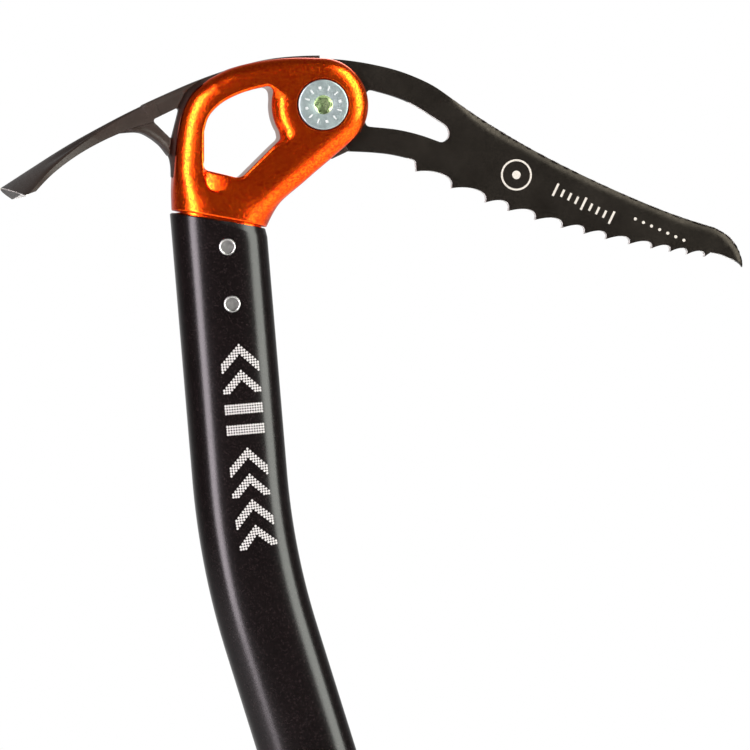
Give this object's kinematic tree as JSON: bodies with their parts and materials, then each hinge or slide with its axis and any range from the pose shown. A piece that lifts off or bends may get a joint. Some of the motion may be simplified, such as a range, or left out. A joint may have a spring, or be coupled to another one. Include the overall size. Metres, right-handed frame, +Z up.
{
  "type": "ice axe",
  "caption": "Technical ice axe with a forged head, toothed pick, scooped adze, bent tube shaft, rubber grip, sliding finger rest and spike.",
  "frame": {"origin": "crown of the head's eye, on the mid-plane, where a carabiner holds the tool", "axes": "+X towards the point of the pick, +Z up and away from the spike, +Y across the blades"},
  "size_m": [0.2632, 0.0514, 0.4912],
  "materials": {
    "head_body": "orange anodised over a fine blast, sparkling",
    "adze": "black coated forged steel, ground bright at the cutting edge",
    "pick": "black-brown coated steel plate, ground bright in the notches",
    "pick_bolt": "zinc plated, satin",
    "pick_washer": "plain spring steel",
    "pick_nut": "zinc plated, satin",
    "head_rivet_upper": "stainless, bright rim",
    "head_rivet_lower": "stainless, bright rim",
    "shaft": "black anodised, fine satin sparkle",
    "grip_sleeve": "moulded, matt",
    "lower_rest": "moulded nylon, fine grain",
    "lower_rest_screw": "stainless",
    "trigger_body": "moulded nylon, fine grain",
    "trigger_liner": "soft rubber, matt",
    "trigger_screw": "stainless",
    "trigger_washer": "stainless",
    "trigger_nut": "stainless",
    "spike": "forged steel, ground at the point",
    "spike_plug": "moulded nylon",
    "spike_rivet_upper": "stainless, bright rim",
    "spike_rivet_lower": "stainless, bright rim"
  },
  "bodies": {
    "axe": {"head_body": "head_body", "adze": "adze", "pick": "pick", "pick_nut": "pick_nut", "head_rivet_upper": "head_rivet_upper", "head_rivet_lower": "head_rivet_lower", "shaft": "shaft", "grip_sleeve": "grip_sleeve", "lower_rest": "lower_rest", "lower_rest_screw": "lower_rest_screw", "spike": "spike", "spike_plug": "spike_plug", "spike_rivet_upper": "spike_rivet_upper", "spike_rivet_lower": "spike_rivet_lower"},
    "bolt_washer": {"pick_washer": "pick_washer"},
    "bolt": {"pick_bolt": "pick_bolt"},
    "finger_rest": {"trigger_body": "trigger_body", "trigger_liner": "trigger_liner", "trigger_nut": "trigger_nut"},
    "clamp_washer": {"trigger_washer": "trigger_washer"},
    "clamp_screw": {"trigger_screw": "trigger_screw"}
  },
  "joints": [
    {"name": "bolt_back_off", "type": "slide", "parent": "axe", "child": "bolt_washer", "axis": [0, -1, 0], "range_m": [0, 0.0075]},
    {"name": "bolt_turn", "type": "hinge", "parent": "bolt_washer", "child": "bolt", "pos_m": [0.024, 0, -0.0057], "axis": [0, -1, 0], "range_deg": [0, 2162]},
    {"name": "finger_rest_slide", "type": "slide", "parent": "axe", "child": "finger_rest", "axis": [-0.3007, 0, 0.9537], "range_m": [0, 0.055]},
    {"name": "clamp_back_off", "type": "slide", "parent": "finger_rest", "child": "clamp_washer", "axis": [0, -1, 0], "range_m": [0, 0.0021]},
    {"name": "clamp_turn", "type": "hinge", "parent": "clamp_washer", "child": "clamp_screw", "pos_m": [0.0049, 0, -0.27758], "axis": [0, -1, 0], "range_deg": [0, 1082]}
  ],
  "couplings": [
    {"joint": "bolt_turn", "follows": "bolt_back_off", "rad_per_m": 5026.5},
    {"joint": "clamp_turn", "follows": "clamp_back_off", "rad_per_m": 8976}
  ]
}
